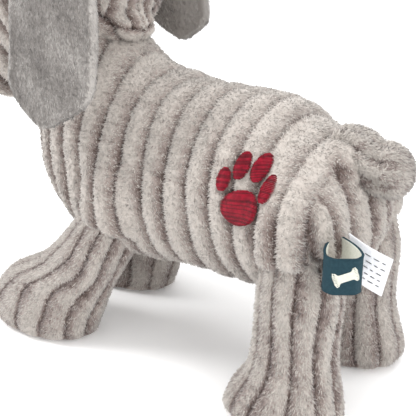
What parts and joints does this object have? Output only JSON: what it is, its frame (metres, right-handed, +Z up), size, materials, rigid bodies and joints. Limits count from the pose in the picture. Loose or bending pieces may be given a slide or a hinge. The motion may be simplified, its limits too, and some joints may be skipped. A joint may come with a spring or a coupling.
{
  "type": "plush dog",
  "caption": "Standing soft toy dog in wide-ribbed plush, with stuffed limbs that swing, a turning head, hanging ears, a wagging tail and sewn-in tags.",
  "frame": {"origin": "on the floor, under the middle of the whole dog", "axes": "+Z up, the dog faces -Y with its tail towards +Y, and its left side is +X"},
  "size_m": [0.0952, 0.206, 0.1779],
  "materials": {
    "ribbed_plush": "wide-ribbed plush, matte",
    "short_pile": "smooth short pile",
    "stuffing": "polyester fibre filling",
    "crimson_thread": "satin-stitch embroidery",
    "dark_thread": "satin-stitch embroidery",
    "woven_label": "woven tape",
    "white_satin": "printed satin ribbon"
  },
  "bodies": {
    "torso": {"body_cover_left": "ribbed_plush", "body_cover_right": "ribbed_plush", "body_stuffing": "stuffing", "motif_pad": "crimson_thread", "motif_toe_outer_front": "crimson_thread", "motif_toe_front": "crimson_thread", "motif_toe_rear": "crimson_thread", "motif_toe_outer_rear": "crimson_thread"},
    "leg_front_left": {"leg_cover_front_left": "ribbed_plush", "leg_stuffing_front_left": "stuffing"},
    "leg_front_right": {"leg_cover_front_right": "ribbed_plush", "leg_stuffing_front_right": "stuffing"},
    "leg_hind_left": {"leg_cover_hind_left": "ribbed_plush", "leg_stuffing_hind_left": "stuffing"},
    "leg_hind_right": {"leg_cover_hind_right": "ribbed_plush", "leg_stuffing_hind_right": "stuffing"},
    "tail": {"tail_cover": "ribbed_plush", "tail_stuffing": "stuffing"},
    "neck": {"neck_stuffing": "stuffing"},
    "head": {"head_cover_left": "ribbed_plush", "head_cover_right": "ribbed_plush", "head_stuffing": "stuffing", "nose_patch": "dark_thread", "eye_left": "dark_thread", "eye_right": "dark_thread"},
    "ear_left": {"ear_lining_left": "short_pile", "ear_outer_left": "short_pile"},
    "ear_right": {"ear_lining_right": "short_pile", "ear_outer_right": "short_pile"},
    "label": {"label_loop": "woven_label"},
    "tag": {"care_tag": "white_satin"}
  },
  "joints": [
    {"name": "shoulder_left", "type": "hinge", "parent": "torso", "child": "leg_front_left", "pos_m": [0.022, -0.0135, 0.046], "axis": [1, 0, 0], "range_deg": [-18, 18], "stiffness_Nm_per_rad": 1},
    {"name": "shoulder_right", "type": "hinge", "parent": "torso", "child": "leg_front_right", "pos_m": [-0.022, -0.0135, 0.046], "axis": [1, 0, 0], "range_deg": [-18, 18], "stiffness_Nm_per_rad": 1},
    {"name": "hip_left", "type": "hinge", "parent": "torso", "child": "leg_hind_left", "pos_m": [0.023, 0.0745, 0.042], "axis": [1, 0, 0], "range_deg": [-18, 18], "stiffness_Nm_per_rad": 1},
    {"name": "hip_right", "type": "hinge", "parent": "torso", "child": "leg_hind_right", "pos_m": [-0.023, 0.0745, 0.042], "axis": [1, 0, 0], "range_deg": [-18, 18], "stiffness_Nm_per_rad": 1},
    {"name": "tail_wag", "type": "hinge", "parent": "torso", "child": "tail", "pos_m": [0, 0.0795, 0.089], "axis": [0, 0, 1], "range_deg": [-22, 22], "stiffness_Nm_per_rad": 0.12},
    {"name": "neck_turn", "type": "hinge", "parent": "torso", "child": "neck", "pos_m": [0, -0.0365, 0.113], "axis": [0, -0.5446, 0.8387], "range_deg": [-18, 18], "stiffness_Nm_per_rad": 1},
    {"name": "head_nod", "type": "hinge", "parent": "neck", "child": "head", "pos_m": [0, -0.0365, 0.113], "axis": [1, 0, 0], "range_deg": [-10, 10], "stiffness_Nm_per_rad": 1.5},
    {"name": "ear_lift_left", "type": "hinge", "parent": "head", "child": "ear_left", "pos_m": [0.0338, -0.0155, 0.16], "axis": [0, -1, 0], "range_deg": [0, 60]},
    {"name": "ear_lift_right", "type": "hinge", "parent": "head", "child": "ear_right", "pos_m": [-0.0338, -0.0155, 0.16], "axis": [0, 1, 0], "range_deg": [0, 60]},
    {"name": "label_flap", "type": "hinge", "parent": "torso", "child": "label", "pos_m": [0.0226, 0.0847, 0.068], "axis": [0, 0, 1], "range_deg": [-12, 12], "stiffness_Nm_per_rad": 0.004},
    {"name": "tag_flap", "type": "hinge", "parent": "torso", "child": "tag", "pos_m": [0.0192, 0.0863, 0.068], "axis": [0, 0, 1], "range_deg": [-15, 15], "stiffness_Nm_per_rad": 0.002}
  ]
}
